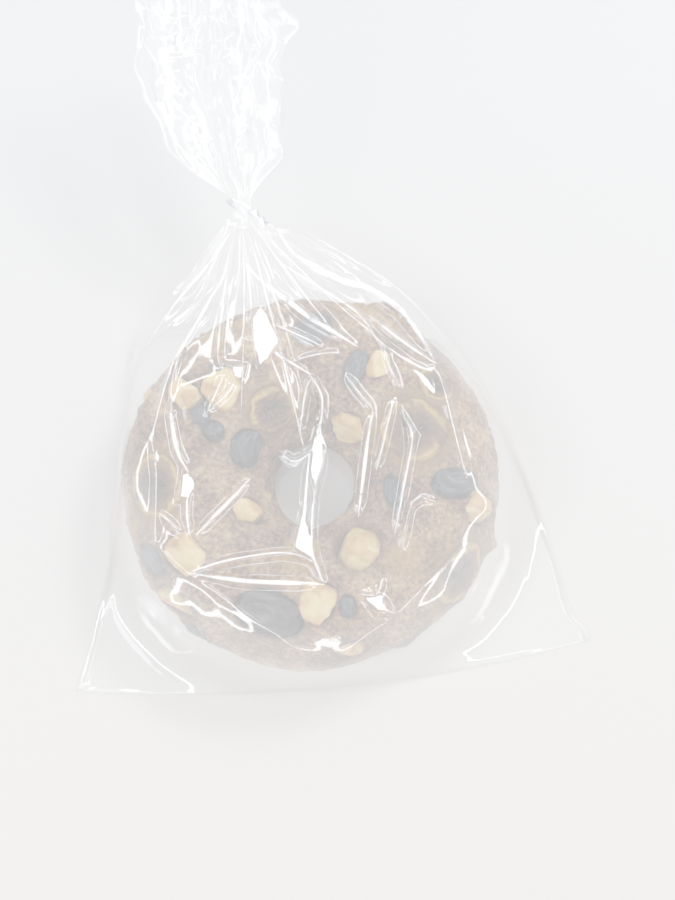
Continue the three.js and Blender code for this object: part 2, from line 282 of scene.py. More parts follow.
# name, kind, degrees round the ring, degrees over it, turn, size in mm, how far it stands proud
toppings = [
    ("nut_01", "nut", 147, 67, 80, (15, 9.5, 9), 2.6),
    ("nut_02", "nut", 136, 88, 20, (15, 13.5, 10), 3),
    ("nut_03", "nut", 153, 20, 70, (12, 8, 7), 2),
    ("nut_04", "nut", 211, 130, 30, (11, 9, 8), 2.6),
    ("nut_05", "nut", 213, 72, 10, (13.5, 12, 9), 3),
    ("nut_06", "nut", 223, 34, 5, (15, 8, 8), 2.4),
    ("nut_07", "nut", 54, 141, 60, (13, 11, 9), 3),
    ("nut_08", "nut", 304, 116, 25, (17, 15.5, 11), 3.4),
    ("nut_09", "nut", 58, 84, 100, (10, 7.5, 7), 2.2),
    ("nut_10", "nut", 349, 45, 75, (12.5, 10.5, 10), 3),
    ("nut_11", "nut", 274, 86, 60, (13, 11.5, 8), 2.6),
    ("nut_12", "nut", 283, 40, 0, (11.5, 7, 7), 1.8),
    ("raisin_01", "raisin", 151, 88, 40, (7.2, 6, 5.5), 2.2),
    ("raisin_02", "raisin", 156, 99, 70, (8, 6.6, 6), 2.6),
    ("raisin_03", "raisin", 156, 131, 20, (13.5, 12, 8.5), 3),
    ("raisin_04", "raisin", 67, 92, 95, (13, 7.5, 7), 2.8),
    ("raisin_05", "raisin", 89, 68, 50, (14, 12, 7), 2),
    ("raisin_06", "raisin", 356, 74, 95, (15.5, 10, 8), 3),
    ("raisin_07", "raisin", 286, 80, 80, (7.5, 6, 5), 1.6),
    ("raisin_08", "raisin", 233, 18, 0, (11, 7.5, 6.5), 2),
    ("raisin_09", "raisin", 208, 42, 15, (12.5, 9, 7), 2),
    ("raisin_10", "raisin", 301, 6, 0, (8.5, 5.5, 5.5), 1.6),
    ("raisin_11", "raisin", 348, 116, 30, (12, 6.5, 5.5), 1.8),
    ("prune_01", "prune", 254, 74, 0, (24, 15.5, 9), 2),
    ("banana_slice_1", "banana", 23, 94, 0, (23, 22, 5), 1),
    ("banana_slice_2", "banana", 327, 38, 0, (22, 19, 5), 1),
    ("banana_slice_3", "banana", 184, 66, 0, (22, 19, 5), 1),
    ("banana_slice_4", "banana", 120, 124, 0, (18, 16, 5), 1),
    ("banana_slice_5", "banana", 36, 64, 0, (15, 12, 5), 0.8),
]


def toppingFrame(topping):
    _, _, around, roll, turn, size, proud = topping
    place, axes = crustFrame(around, roll)
    t = math.radians(turn)
    spun = np.stack([axes[0] * math.cos(t) + axes[1] * math.sin(t),
                     axes[1] * math.cos(t) - axes[0] * math.sin(t), axes[2]])
    half = np.array(size) / 2
    return place + spun[2] * (proud - half[2]), spun, half


# paler tan patches of the crust: degrees round the ring and over it, and width in mm
tanPatches = [(122, 45, 13), (35, 118, 9), (262, 120, 9), (75, 30, 10), (318, 88, 8), (196, 30, 9)]

# tags of dough at the edge of the hole and on the outside: the same, and how far each sticks out
doughTags = [(203, 152, 5.5, 4.2), (341, 12, 4.5, 3.0), (66, 24, 8, 4.2)]

# burst bubbles
bubblePits = [(201, 143), (206, 140), (88, 92), (300, 84), (20, 118)]


def crustGrid():  # rows of points over the ring, the way out at each, and the degrees over the ring
    under = np.linspace(210, 330, ring["underRows"] + 2)[1:-1]
    roll = np.concatenate([np.linspace(-30, 210, ring["topRows"]), under])
    around = np.linspace(0, 360, ring["columns"], endpoint=False)
    grid = crust(around[None, :], roll[:, None])
    step = 0.5
    along = crust(around[None, :] + step, roll[:, None]) - grid
    over = crust(around[None, :], roll[:, None] + step) - grid
    out = np.cross(along, over)
    out /= np.maximum(np.linalg.norm(out, axis=-1, keepdims=True), 1e-9)
    return grid.reshape(-1, 3), out.reshape(-1, 3), np.repeat(roll, len(around))


def risenCrust(points, roll, baked):  # how far the lumps, blisters and cracks stand out, in mm
    height = np.zeros(len(points))
    for size, amount in ring["lumps"]:
        height += amount * noiseAt(points, size, size) * (0.25 + 0.75 * baked)
    blister = noiseAt(points, 7, 40)
    height += 0.9 * np.maximum(0, blister - 0.25) * baked
    crack = np.abs(noiseAt(points * [1, 1, 0.6], 9, 80))
    height -= 0.9 * np.maximum(0, 1 - crack / 0.035) * baked * smoothStep(noiseAt(points, 22, 5), 0, 0.3)
    resting = (points[:, 2] < ring["base"] + 0.05) & (roll > 200)
    height[resting] = 0.12 * height[resting]
    return height


def leanHole(points):  # the hole narrows a little towards its foot, most of all on the left
    reach = np.hypot(points[:, 0], points[:, 1])
    lean = smoothStep(ring["radius"] - reach, 8, 22) * smoothStep(-points[:, 2], -30, -5)
    lean *= ring["holeLean"] * (0.3 + 0.7 * np.maximum(0, -points[:, 0] / reach))
    points[:, :2] *= (1 - lean / reach)[:, None]


def pressToppings(points):  # a pocket with a lip for each topping, and where its syrup has soaked in
    sticky, golden = np.zeros(len(points)), np.zeros(len(points))
    for topping in toppings:
        centre, axes, half = toppingFrame(topping)
        local = (points - centre) @ axes.T
        near = np.sqrt((local[:, 0] / half[0]) ** 2 + (local[:, 1] / half[1]) ** 2)
        near = np.where(np.abs(local[:, 2]) < 12, near, 9)
        pocket = -half[2] * np.sqrt(np.maximum(0, 1 - near ** 2)) - 0.35 - local[:, 2]
        if topping[1] == "banana":
            pocket = -1.9 * (1 - near ** 4)
            golden = np.maximum(golden, 0.7 * smoothStep(-near, -1.45, -1.0))
        sink = np.where(near < 1, np.minimum(0, pocket), 0)
        lip = ring["lip"] * np.exp(-((near - 1.16) / 0.12) ** 2) * (near < 1.8)
        points = points + axes[2] * (sink + lip)[:, None]
        sticky = np.maximum(sticky, smoothStep(-near, -1.5, -1.0))
    return points, sticky, golden


def makeDough(material):
    points, out, roll = crustGrid()
    baked = smoothStep(np.sin(np.radians(roll)), -0.25, 0.35)  # the underside stays smoother
    points = points + out * risenCrust(points, roll, baked)[:, None]
    leanHole(points)
    points, sticky, golden = pressToppings(points)
    for around, over, width in tanPatches:
        gap = np.linalg.norm(points - crust(around, over), axis=1) / width
        golden = np.maximum(golden, np.exp(-(gap * 1.3) ** 4) * (0.6 + 0.8 * noiseAt(points, 5, 3)))
    for around, over, width, reach in doughTags:
        place, axes = crustFrame(around, over)
        gap = np.linalg.norm(points - place, axis=1) / width
        points = points + axes[2] * (reach * np.exp(-gap ** 2 * 2.2))[:, None]
    for around, over in bubblePits:
        place, axes = crustFrame(around, over)
        gap = np.linalg.norm(points - place, axis=1)
        points = points - axes[2] * (1.6 * np.exp(-(gap / 1.1) ** 2))[:, None]
    points[:, 2] = np.maximum(points[:, 2], ring["base"])
    faces = gridFaces(ring["topRows"] + ring["underRows"], ring["columns"], closed=True)
    crumbly = baked * (1 - sticky) * (out[:, 2] > 0.3)
    marks = {"sticky": sticky, "golden": np.clip(golden, 0, 1), "crumbly": crumbly}
    return newPiece("doughRing", points, faces, material, marks)


# honey dough, baked: a matt brown crumb with darker syrupy edges round the fruit, and painted shade in its
# pores
def makeCrustMaterial():
    material, tree, where = newMaterial("bakedHoneyDough")
    # here and below, a pattern's scale is 1000 over the width of one lump, grain or pore in mm
    broad = addNode(tree, "ShaderNodeTexNoise", {"Scale": 1000 / 14, "Detail": 4, "Roughness": 0.6},
                    {"Vector": where})
    crumb = addNode(tree, "ShaderNodeTexNoise", {"Scale": 1000 / 1.7, "Detail": 5, "Roughness": 0.7},
                    {"Vector": where})
    pores = addNode(tree, "ShaderNodeTexVoronoi", {"Scale": 1000 / 2.4}, {"Vector": where})
    half = addNode(tree, "ShaderNodeMath", {"operation": "MULTIPLY", 1: 0.5}, {0: broad.outputs[0]})
    mixed = addNode(tree, "ShaderNodeMath", {"operation": "MULTIPLY_ADD", 1: 0.6},
                    {0: crumb.outputs[0], 2: half.outputs[0]})
    tone = addNode(tree, "ShaderNodeValToRGB", {"ramp": [
        (0.43, "#4A3126"), (0.52, "#7E5A43"), (0.59, "#A17B5A"), (0.70, "#CBAA7A")]},
        {0: mixed.outputs[0]})
    golden = addNode(tree, "ShaderNodeAttribute", {"attribute_name": "golden"})
    sticky = addNode(tree, "ShaderNodeAttribute", {"attribute_name": "sticky"})
    tan = addNode(tree, "ShaderNodeMix", {"data_type": "RGBA", 7: toLinear("#A9803F")},
                  {0: golden.outputs["Fac"], 6: tone.outputs[0]})
    syrup = addNode(tree, "ShaderNodeMath", {"operation": "MULTIPLY", 1: 0.5}, {0: sticky.outputs["Fac"]})
    dark = addNode(tree, "ShaderNodeMix", {"data_type": "RGBA", 7: toLinear("#4B2A17")},
                   {0: syrup.outputs[0], 6: tan.outputs[2]})
    # painted shade: each pore is darkened towards its middle, and the same pattern dents the crumb
    poreShadeAndDepth = addNode(tree, "ShaderNodeMapRange", {"From Max": 0.22, "To Min": 0.55},
                  {0: pores.outputs["Distance"]})
    shaded = addNode(tree, "ShaderNodeMix", {"data_type": "RGBA", "blend_type": "MULTIPLY", 0: 0.7},
                     {6: dark.outputs[2], 7: poreShadeAndDepth.outputs[0]})
    rough = addNode(tree, "ShaderNodeMapRange", {"To Min": 0.72, "To Max": 0.42},
                    {0: sticky.outputs["Fac"]})
    grainy = addNode(tree, "ShaderNodeBump", {"Strength": 0.8, "Distance": 0.0009},
                     {"Height": crumb.outputs[0]})
    bump = addNode(tree, "ShaderNodeBump", {"Strength": 0.35, "Distance": 0.0006},
                   {"Height": poreShadeAndDepth.outputs[0], "Normal": grainy.outputs[0]})
    crumbly = addNode(tree, "ShaderNodeBsdfPrincipled", {"IOR": 1.45, "Specular IOR Level": 0.4}, {
        "Base Color": shaded.outputs[2], "Roughness": rough.outputs[0], "Normal": bump.outputs[0]})
    addNode(tree, "ShaderNodeOutputMaterial", {}, {"Surface": crumbly.outputs[0]})
    return material


dough = makeDough(makeCrustMaterial())
print("dough ring baked")


# what is pressed into the top: how fine each mesh is, how broken the nuts are, how deep the folds of the
# dried fruit are, and how far a slice has slumped onto the curve of the crust
toppingShapes = {
    "ballLevel": 5, "nutCuts": 9, "nutCutAt": (0.77, 0.15), "fruitFolds": (0.17, 0.07, 0.26),
    "sliceRings": 54, "sliceSectors": 120, "sliceSlump": (0.006, 0.017),
    # how much larger than its CAD node each is
    "swollen": {"nut": 1.22, "raisin": 1.1, "prune": 1.1},
}


def ball(level):  # an even ball one unit in radius
    mesh = bpy.data.meshes.new("ball")
    shape = bmesh.new()
    bmesh.ops.create_icosphere(shape, subdivisions=level, radius=1)
    shape.to_mesh(mesh)
    shape.free()
    points = np.array([v.co for v in mesh.vertices])
    faces = np.array([p.vertices for p in mesh.polygons])
    bpy.data.meshes.remove(mesh)
    return points, faces


def soften(points, faces):  # moves each point halfway to the middle of its neighbours
    total, count = np.zeros_like(points), np.zeros(len(points))
    for k in range(3):
        for other in (faces[:, (k + 1) % 3], faces[:, (k + 2) % 3]):
            np.add.at(total, faces[:, k], points[other])
            np.add.at(count, faces[:, k], 1)
    return 0.5 * points + 0.5 * total / count[:, None]


def nutShape(grain):
    points, faces = ball(toppingShapes["ballLevel"])
    middle, varies = toppingShapes["nutCutAt"]
    points = points / (np.abs(points) ** 4).sum(1, keepdims=True) ** 0.25 * 1.04
    reachMost = np.ones(len(points))
    for i in range(toppingShapes["nutCuts"]):
        turn, height = 2.4 * i + 1.7 * grain, math.sin(2.1 * i + grain)
        width = math.sqrt(1 - 0.8 * height * height)
        facing = unit(np.array([width * math.cos(turn), width * math.sin(turn), height]))
        depth = middle + varies * math.sin(3 * i + grain)
        reach = points @ facing
        cut = reach > depth
        scale = np.where(cut, depth / np.maximum(reach, 1e-6), 1)
        points = points * scale[:, None]
        reachMost = np.minimum(reachMost, np.where(cut, scale, 1))
    return soften(points, faces), faces, {"broken": smoothStep(1 - reachMost, 0.02, 0.12)}


def raisinShape(grain):
    points, faces = ball(toppingShapes["ballLevel"])
    bend = np.stack([noiseAt(points + 9 * k, 1.3, grain + 5 * k) for k in range(3)], -1)
    warped = points * [1.0, 2.1, 2.1] + 0.9 * bend
    folds = 1 - 2 * np.abs(noiseAt(warped, 0.9, 3.3 * grain))
    fine = 1 - 2 * np.abs(noiseAt(warped * 2.2, 0.8, 7.7 * grain))
    broad, small, dent = toppingShapes["fruitFolds"]
    depth = broad * (folds - 0.6) + small * (fine - 0.6) + dent * noiseAt(points, 0.9, 1.7 * grain)
    points = points / (np.abs(points) ** 2.8).sum(1, keepdims=True) ** (1 / 2.8)
    return points * (0.96 + depth)[:, None], faces, {"crest": smoothStep(folds, 0.3, 1)}


def bananaShape(grain):
    rings, sectors = toppingShapes["sliceRings"], toppingShapes["sliceSectors"]
    t = np.linspace(0, 1, rings)
    keyPlaces = [0, 0.52, 0.62, 0.72, 0.82, 1]
    radius = np.interp(t, keyPlaces, [0.002, 0.86, 1, 1, 0.82, 0.002])
    level = np.interp(t, keyPlaces, [0.55, 1.0, 0.55, -0.3, -1, -1])
    angle = np.linspace(0, 2 * math.pi, sectors, endpoint=False)
    x, y = radius[:, None] * np.cos(angle), radius[:, None] * np.sin(angle)
    points = np.stack([x, y, np.repeat(level[:, None], sectors, 1)], -1).reshape(-1, 3)
    r = np.hypot(points[:, 0], points[:, 1])
    theta = np.arctan2(points[:, 1], points[:, 0])
    top = np.repeat((t < 0.6).astype(float), sectors)
    edge = np.stack([np.cos(theta), np.sin(theta), 0 * theta], -1)
    wander = 1 + 0.16 * noiseAt(edge, 0.8, grain) + 0.05 * noiseAt(edge, 0.25, 2 * grain)
    # the soft middle has sunk in three lobes, and the flesh is drawn into radial wrinkles
    lobes = np.exp(-((r - 0.22) / 0.14) ** 2) * smoothStep(np.cos(3 * theta + grain), -0.2, 0.8)
    spokes = np.stack([2.6 * np.cos(theta), 2.6 * np.sin(theta), 0.8 * r], -1)
    wrinkle = np.abs(noiseAt(spokes, 0.34, grain))
    rumple = noiseAt(points * [1, 1, 0], 0.2, 2 * grain)
    drop = 0.55 * lobes + 0.45 * np.exp(-(r / 0.5) ** 2)
    drop = drop + 0.35 * wrinkle * smoothStep(r, 0.2, 0.6) + 0.5 * rumple
    points[:, 2] -= top * drop * smoothStep(-r, -1.0, -0.8)
    points[:, :2] *= wander[:, None]
    return points, gridFaces(rings, sectors)[:, ::-1], {"radial": r, "lobe": lobes * top}


shapes = {"nut": nutShape, "raisin": raisinShape, "prune": raisinShape, "banana": bananaShape}


# toasted nut: creamy where it broke, with thin tan skin left in places
def makeNutMaterial():
    material, tree, where = newMaterial("toastedNut")
    patches = addNode(tree, "ShaderNodeTexNoise", {"Scale": 1000 / 6, "Detail": 3}, {"Vector": where})
    grain = addNode(tree, "ShaderNodeTexNoise", {"Scale": 1000 / 0.9, "Detail": 4}, {"Vector": where})
    broken = addNode(tree, "ShaderNodeAttribute", {"attribute_name": "broken"})
    inside = addNode(tree, "ShaderNodeValToRGB", {"ramp": [
        (0.3, "#CF9F58"), (0.5, "#E3BE78"), (0.7, "#F0D79C")]}, {0: patches.outputs[0]})
    skin = addNode(tree, "ShaderNodeValToRGB", {"ramp": [
        (0.3, "#A06A33"), (0.5, "#C79250"), (0.75, "#DDB26C")]}, {0: patches.outputs[0]})
    colour = addNode(tree, "ShaderNodeMix", {"data_type": "RGBA"},
                     {0: broken.outputs["Fac"], 6: skin.outputs[0], 7: inside.outputs[0]})
    bump = addNode(tree, "ShaderNodeBump", {"Strength": 0.3, "Distance": 0.0003},
                   {"Height": grain.outputs[0]})
    toasted = addNode(tree, "ShaderNodeBsdfPrincipled", {
        "Roughness": 0.42, "IOR": 1.47, "Subsurface Weight": 0.12,
        "Subsurface Radius": (0.0018, 0.0012, 0.0006), "Subsurface Scale": 1.0},
        {"Base Color": colour.outputs[2], "Normal": bump.outputs[0]})
    addNode(tree, "ShaderNodeOutputMaterial", {}, {"Surface": toasted.outputs[0]})
    return material


# dried grape: a blue-black wrinkled skin with a dusty bloom on its crests
def makeRaisinMaterial(name, skin, crest, roughness):
    material, tree, where = newMaterial(name)
    bloom = addNode(tree, "ShaderNodeTexNoise", {"Scale": 1000 / 2, "Detail": 4}, {"Vector": where})
    high = addNode(tree, "ShaderNodeAttribute", {"attribute_name": "crest"})
    share = addNode(tree, "ShaderNodeMath", {"operation": "MULTIPLY"},
                    {0: high.outputs["Fac"], 1: bloom.outputs[0]})
    colour = addNode(tree, "ShaderNodeMix", {"data_type": "RGBA", 6: toLinear(skin), 7: toLinear(crest)},
                     {0: share.outputs[0]})
    bump = addNode(tree, "ShaderNodeBump", {"Strength": 0.35, "Distance": 0.0002},
                   {"Height": bloom.outputs[0]})
    dried = addNode(tree, "ShaderNodeBsdfPrincipled", {"Roughness": roughness, "IOR": 1.5},
                    {"Base Color": colour.outputs[2], "Normal": bump.outputs[0]})
    addNode(tree, "ShaderNodeOutputMaterial", {}, {"Surface": dried.outputs[0]})
    return material


# baked banana: a golden caramel rim, and a dark shrunken middle with seeds' lobes
def makeBananaMaterial():
    material, tree, where = newMaterial("bakedBanana")
    blotch = addNode(tree, "ShaderNodeTexNoise", {"Scale": 1000 / 4.5, "Detail": 4}, {"Vector": where})
    fine = addNode(tree, "ShaderNodeTexNoise", {"Scale": 1000 / 0.8, "Detail": 3}, {"Vector": where})
    broad = addNode(tree, "ShaderNodeTexNoise", {"Scale": 1000 / 11, "Detail": 3}, {"Vector": where})
    radial = addNode(tree, "ShaderNodeAttribute", {"attribute_name": "radial"})
    lobe = addNode(tree, "ShaderNodeAttribute", {"attribute_name": "lobe"})
    wander = addNode(tree, "ShaderNodeMath", {"operation": "MULTIPLY_ADD", 1: 0.5, 2: -0.25},
                     {0: blotch.outputs[0]})
    out = addNode(tree, "ShaderNodeMath", {"operation": "ADD"},
                  {0: radial.outputs["Fac"], 1: wander.outputs[0]})
    tone = addNode(tree, "ShaderNodeValToRGB", {"ramp": [
        (0.0, "#3A2418"), (0.5, "#54351F"), (0.74, "#7F572B"), (0.86, "#C09A4C"), (0.98, "#86622F")]},
        {0: out.outputs[0]})
    edge = addNode(tree, "ShaderNodeMapRange", {"From Min": 0.5, "From Max": 0.64}, {0: broad.outputs[0]})
    browned = addNode(tree, "ShaderNodeMix", {"data_type": "RGBA", 7: toLinear("#5E3D27")},
                      {0: edge.outputs[0], 6: tone.outputs[0]})
    dark = addNode(tree, "ShaderNodeMix", {"data_type": "RGBA", 7: toLinear("#26150F")},
                   {0: lobe.outputs["Fac"], 6: browned.outputs[2]})
    bump = addNode(tree, "ShaderNodeBump", {"Strength": 0.6, "Distance": 0.0006},
                   {"Height": fine.outputs[0]})
    sugary = addNode(tree, "ShaderNodeBsdfPrincipled", {"Roughness": 0.4, "IOR": 1.45},
                     {"Base Color": dark.outputs[2], "Normal": bump.outputs[0]})
    addNode(tree, "ShaderNodeOutputMaterial", {}, {"Surface": sugary.outputs[0]})
    return material


def makeToppings():
    finishes = {
        "nut": makeNutMaterial(), "banana": makeBananaMaterial(),
        "raisin": makeRaisinMaterial("raisinSkin", "#14171D", "#4A515C", 0.4),
        "prune": makeRaisinMaterial("pruneSkin", "#170C08", "#46332B", 0.32),
    }
    made = []
    for grain, topping in enumerate(toppings):
        name, kind = topping[:2]
        centre, axes, half = toppingFrame(topping)
        points, faces, marks = shapes[kind](grain)
        points = points * half
        if kind == "nut":
            rough = 0.5 * noiseAt(points, 2.6, grain) + 0.2 * noiseAt(points, 0.9, grain)
            points = points + points / 6 * rough[:, None]
        if kind == "banana":
            along, across = toppingShapes["sliceSlump"]
            spread = np.hypot(points[:, 0], points[:, 1])
            points[:, 2] -= across * points[:, 1] ** 2 + along * points[:, 0] ** 2 - 0.5 * (spread > 0)
            points = points @ axes + centre
        else:  # it fills the box of its node
            low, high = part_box(name)
            middle, size = np.add(low, high) * 500 - cakeAt, np.subtract(high, low) * 1000
            points = points @ axes
            points *= np.minimum(1.3, size / np.ptp(points, axis=0) * toppingShapes["swollen"][kind])
            points += middle - (points.max(0) + points.min(0)) / 2
        made.append((newPiece(name.replace("_", ""), points, faces, finishes[kind], marks), name, kind))
    return made


toppingPieces = makeToppings()
print("toppings pressed in:", len(toppingPieces))


# the film bag is one tube of thin film: sealed at its front edge, tied behind, open at its loose end
bag = {
    "topColumns": 240, "underColumns": 40, "pouchRows": 222, "endRows": 92,
    "seamTilt": 0.0812, "seamCurve": 0.000938,  # the front edge runs further back on the right
    # place along the bag, its left and right sides there, their height, and the underside's
    "outline": [
        (-71.5, -84, 100, 0.7, 0.2), (-55, -79.5, 96, 0.7, 0.2), (-28, -74, 90, 0.7, 0.2),
        (0, -71.5, 81, 0.7, 0.2), (22, -70.5, 72, 0.7, 0.2), (40, -69, 63, 0.7, 0.2),
        (52, -67, 55, 3, 0.2), (60, -63, 47, 8, 0.3), (66, -57, 41, 13, 2), (76, -45, 26, 21, 10),
        (85, -36, 5, 28, 21), (91.2, -30, -19.2, 34, 30)],
    "neckFrom": 77, "pouchTo": 91, "neck": (-24.6, 95.8, 36), "rise": math.tan(math.radians(22)),
    # distance past the tie, half the width, half the height, depth of the pleats, shift to the left
    "end": [
        (-4.6, 5.4, 5, 0.05, 0), (-2.8, 3.4, 3.4, 0.08, 0), (2.6, 3.4, 3.4, 0.08, 0),
        (6, 6.5, 5.5, 0.2, 1.5), (10, 10, 8, 0.36, 3.5), (18, 16, 10.5, 0.4, 6),
        (26, 17, 11, 0.38, 6.5), (34, 20.5, 11.5, 0.36, 8.5), (47, 22, 12, 0.34, 10),
        (60, 20.5, 12.5, 0.34, 10.5), (88, 21, 15, 0.36, 11.4)],
    "endPleats": 9, "endCrumple": 4.6,
    # how the film settles: the room under it, and how it is lifted over the cake and sags beside it
    "clearance": 0.5, "floorClearance": 1.4, "puff": 0.004, "sag": 0.07,
    "restsBeyond": (65, 40),  # it rests on the floor further out than the first, in front of the second
    "gridX": (-96, 112), "gridY": (-84, 96), "cell": 1.5, "settleSteps": 2600, "stiffSteps": 5,
    # pleats that spread from the neck, flat facets between folds, and how many folds are sharp
    "fan": {"pleats": 34, "spread": 84, "tall": (1.6, 3.6), "length": (34, 120), "seed": 11},
    "crumple": 0.8,
    "sharp": {"fan": (0.22, 0.55), "share": 0.5, "seed": 6},
}

# folds pressed into the film over the cake: points along each, its height and half width, and the
# width of its sharp bright edge, in mm (0 leaves it a soft swell)
creases = {
    "leftOuter": (((-27, 88), (-36, 77), (-44, 69), (-50, 63)), 2.4, 2.0, 0.9),
    "leftFlap": (((-32, 70), (-40, 62), (-50, 56), (-60, 51)), 2.2, 1.9, 0.7),
    "leftLong": (((-28, 76), (-40, 52), (-46, 40), (-50, 25), (-53, 14)), 2.4, 1.6, 0.5),
    "leftLow": (((-53, 12), (-51, 0), (-51, -25)), 1.6, 1.4, 0.25),
    "leftInner": (((-30, 74), (-43, 46), (-46, 34), (-47, 24)), 2.4, 1.5, 0.5),
    "leftWedge": (((-47, 24), (-44, 8), (-40, 0)), 2.4, 1.6, 1.3),
    "leftPost": (((-40, -8), (-40, -14), (-39, -21)), 2.2, 1.5, 1.1),
    "leftTick": (((-50, -13), (-45, -17), (-42, -21)), 1.8, 1.4, 0.5),
    "rightTick": (((-37, -21), (-30, -14), (-24, -8), (-19, -2)), 2.2, 1.5, 1.0),
    "leftTop": (((-29, 80), (-31, 50), (-31, 40), (-29, 32)), 2.2, 1.4, 0.4),
    "overNuts": (((-29, 32), (-31, 26), (-34, 20)), 1.8, 1.4, 0.5),
    "nutGlint": (((-34, 20), (-28, 25), (-25, 30)), 1.8, 1.4, 0.6),
    "windowSide": (((-22, 80), (-21, 66), (-20, 52), (-18, 38)), 2.0, 1.4, 0.3),
    "short": (((-18, 82), (-15, 75), (-13, 69)), 2.2, 1.4, 0.6),
    "centre": (((-24, 76), (-17, 68), (-8, 60), (0, 53), (8, 48), (16, 43)), 2.8, 1.7, 1.4),
    "centreFine": (((-22, 74), (-14, 64), (-6, 56)), 1.8, 1.3, 0.3),
    "acrossTop": (((-24, 47), (-15, 43), (-8, 38), (0, 33)), 2.4, 1.5, 0.7),
    "kite": (((-12, 51), (-4, 47), (4, 43)), 2.0, 1.4, 0.6),
    "warmLine": (((-5, 38), (3, 40), (10, 41)), 1.5, 1.2, 0.35),
    "rightInner": (((-13, 77), (-5, 71), (12, 59), (18, 53), (24, 43)), 2.6, 1.6, 0.7),
    "rightBroad": (((-12, 88), (-5, 78), (10, 69), (20, 66), (32, 57), (38, 48), (43, 38)), 3.4, 2.2, 2.0),
    "rightDouble": (((20, 55), (28, 48), (36, 42), (43, 38)), 2.2, 1.4, 0.9),
    "rightLow": (((43, 38), (46, 24), (50, 6), (52, -2)), 1.6, 1.6, 0.3),
    "rightSkirt": (((-10, 92), (10, 82), (30, 70), (50, 52)), 1.8, 1.8, 0.3),
    "fine": (((24, 48), (26, 38), (30, 28)), 1.6, 1.3, 0.25),
    "elbow": (((12, 33), (16, 27), (21, 21)), 2.0, 1.4, 0.45),
    "longRight": (((21, 21), (19, 8), (17, -8), (16, -15)), 2.4, 1.5, 1.1),
    "fineLower": (((28, 25), (25, 12), (22, 0)), 2.0, 1.4, 0.45),
    "rightOfHole": (((32, 17), (34, 11), (31, -5), (28, -21)), 2.2, 1.5, 0.6),
    "stemLeft": (((0, 33), (-2, 22), (-3, 12)), 2.2, 1.4, 0.5),
    "stemTop": (((0, 33), (4, 25), (4, 15)), 2.4, 1.5, 0.8),
    "stemRight": (((2, -6), (1, -16), (1, -25)), 2.0, 1.4, 0.7),
    "stemLow": (((0, 6), (-1, -8), (-2, -18), (-5, -26)), 2.4, 1.5, 1.1),
    "stemFoot": (((-1, -20), (2, -30), (5, -37)), 2.4, 1.5, 0.9),
    "curl": (((-10, 7), (-5, 3), (1, 7), (4, 18)), 1.8, 1.6, 0.5),
    "boatTop": (((-40, -33), (-25, -29), (-8, -27), (2, -30)), 2.6, 1.6, 0.8),
    "boatKeel": (((-40, -33), (-20, -36), (5, -37)), 3.0, 1.8, 1.6),
    "tickTop": (((16, -40), (22, -40), (24, -35)), 1.8, 1.4, 0.4),
    "tickFoot": (((23, -40), (25, -45), (28, -46)), 1.8, 1.4, 0.5),
    "leaf": (((30, -27), (33, -12), (37, -9), (43, -10)), 1.5, 1.5, 0.2),
    "veilLeft": (((-62, -15), (-50, -25), (-20, -46), (-5, -57), (8, -61)), 0.9, 2.2, 0),
    "veilRight": (((8, -61), (30, -45), (48, -25)), 0.9, 2.2, 0),
    "earRight": (((60, 44), (66, 10), (78, -36)), 0.8, 2.2, 0),
    "earLeft": (((-62, 30), (-68, -20), (-77, -56)), 0.8, 2.2, 0),
    "hemLeft": (((-56, -60), (-30, -66), (0, -69)), 0.6, 2.2, 0),
    "hemRight": (((40, -58), (62, -60), (84, -56)), 0.6, 2.2, 0),
}

# facets pulled flat between folds, where they mirror the window: their corners, and how far they stand up
flats = [
    (((-20, 53), (-17, 59), (-12, 50), (-10, 45), (-17, 36), (-19, 43)), 2.0),
    (((-42, 0), (-38, -2), (-39, -9), (-43, -9)), 1.8),
    (((4, 16), (5, 3), (2, -8), (0, -1), (1, 8)), 2.0),
    (((-2, -13), (1, -22), (3, -31), (-5, -26), (-4, -20)), 1.9),
    (((17, -41), (23, -40), (27, -46), (22, -46)), 1.8),
    (((-27, 36), (-22, 36), (-23, 31), (-25, 31)), 1.6),
    (((32, 17), (35, 12), (33, 10)), 1.6),
]


def alongOutline(y):
    table = np.array(bag["outline"])
    return [np.interp(y, table[:, 0], table[:, k]) for k in range(1, 5)]


def frontOf(y):  # 1 at the front edge, 0 over the cake
    return smoothStep(-y, 40, 71)


def seamShift(x):
    return bag["seamTilt"] * x + bag["seamCurve"] * x * x


def foldShape(gap, halfWidth):  # a fold's height across its line: a small round crest with hollow flanks
    rise = np.maximum(0, 1 - (np.sqrt(gap ** 2 + 0.2) - 0.447) / (1.35 * halfWidth))
    return rise ** 1.5


def creaseField(x, y, points, tall, halfWidth):
    gap, place, start = np.full(x.shape, 1e3), np.zeros(x.shape), 0.0
    pairs = list(zip(points[:-1], points[1:]))
    total = sum(math.dist(a, b) for a, b in pairs)
    for a, b in pairs:
        span = math.dist(a, b)
        t = np.clip(((x - a[0]) * (b[0] - a[0]) + (y - a[1]) * (b[1] - a[1])) / span ** 2, 0, 1)
        far = np.hypot(x - a[0] - t * (b[0] - a[0]), y - a[1] - t * (b[1] - a[1]))
        closer = far < gap
        gap, place = np.where(closer, far, gap), np.where(closer, start + t * span, place)
        start += span
    taper = smoothStep(np.minimum(place, total - place), -1.5, 0.22 * total)
    return tall * taper * foldShape(gap, halfWidth * (0.65 + 0.35 * taper))


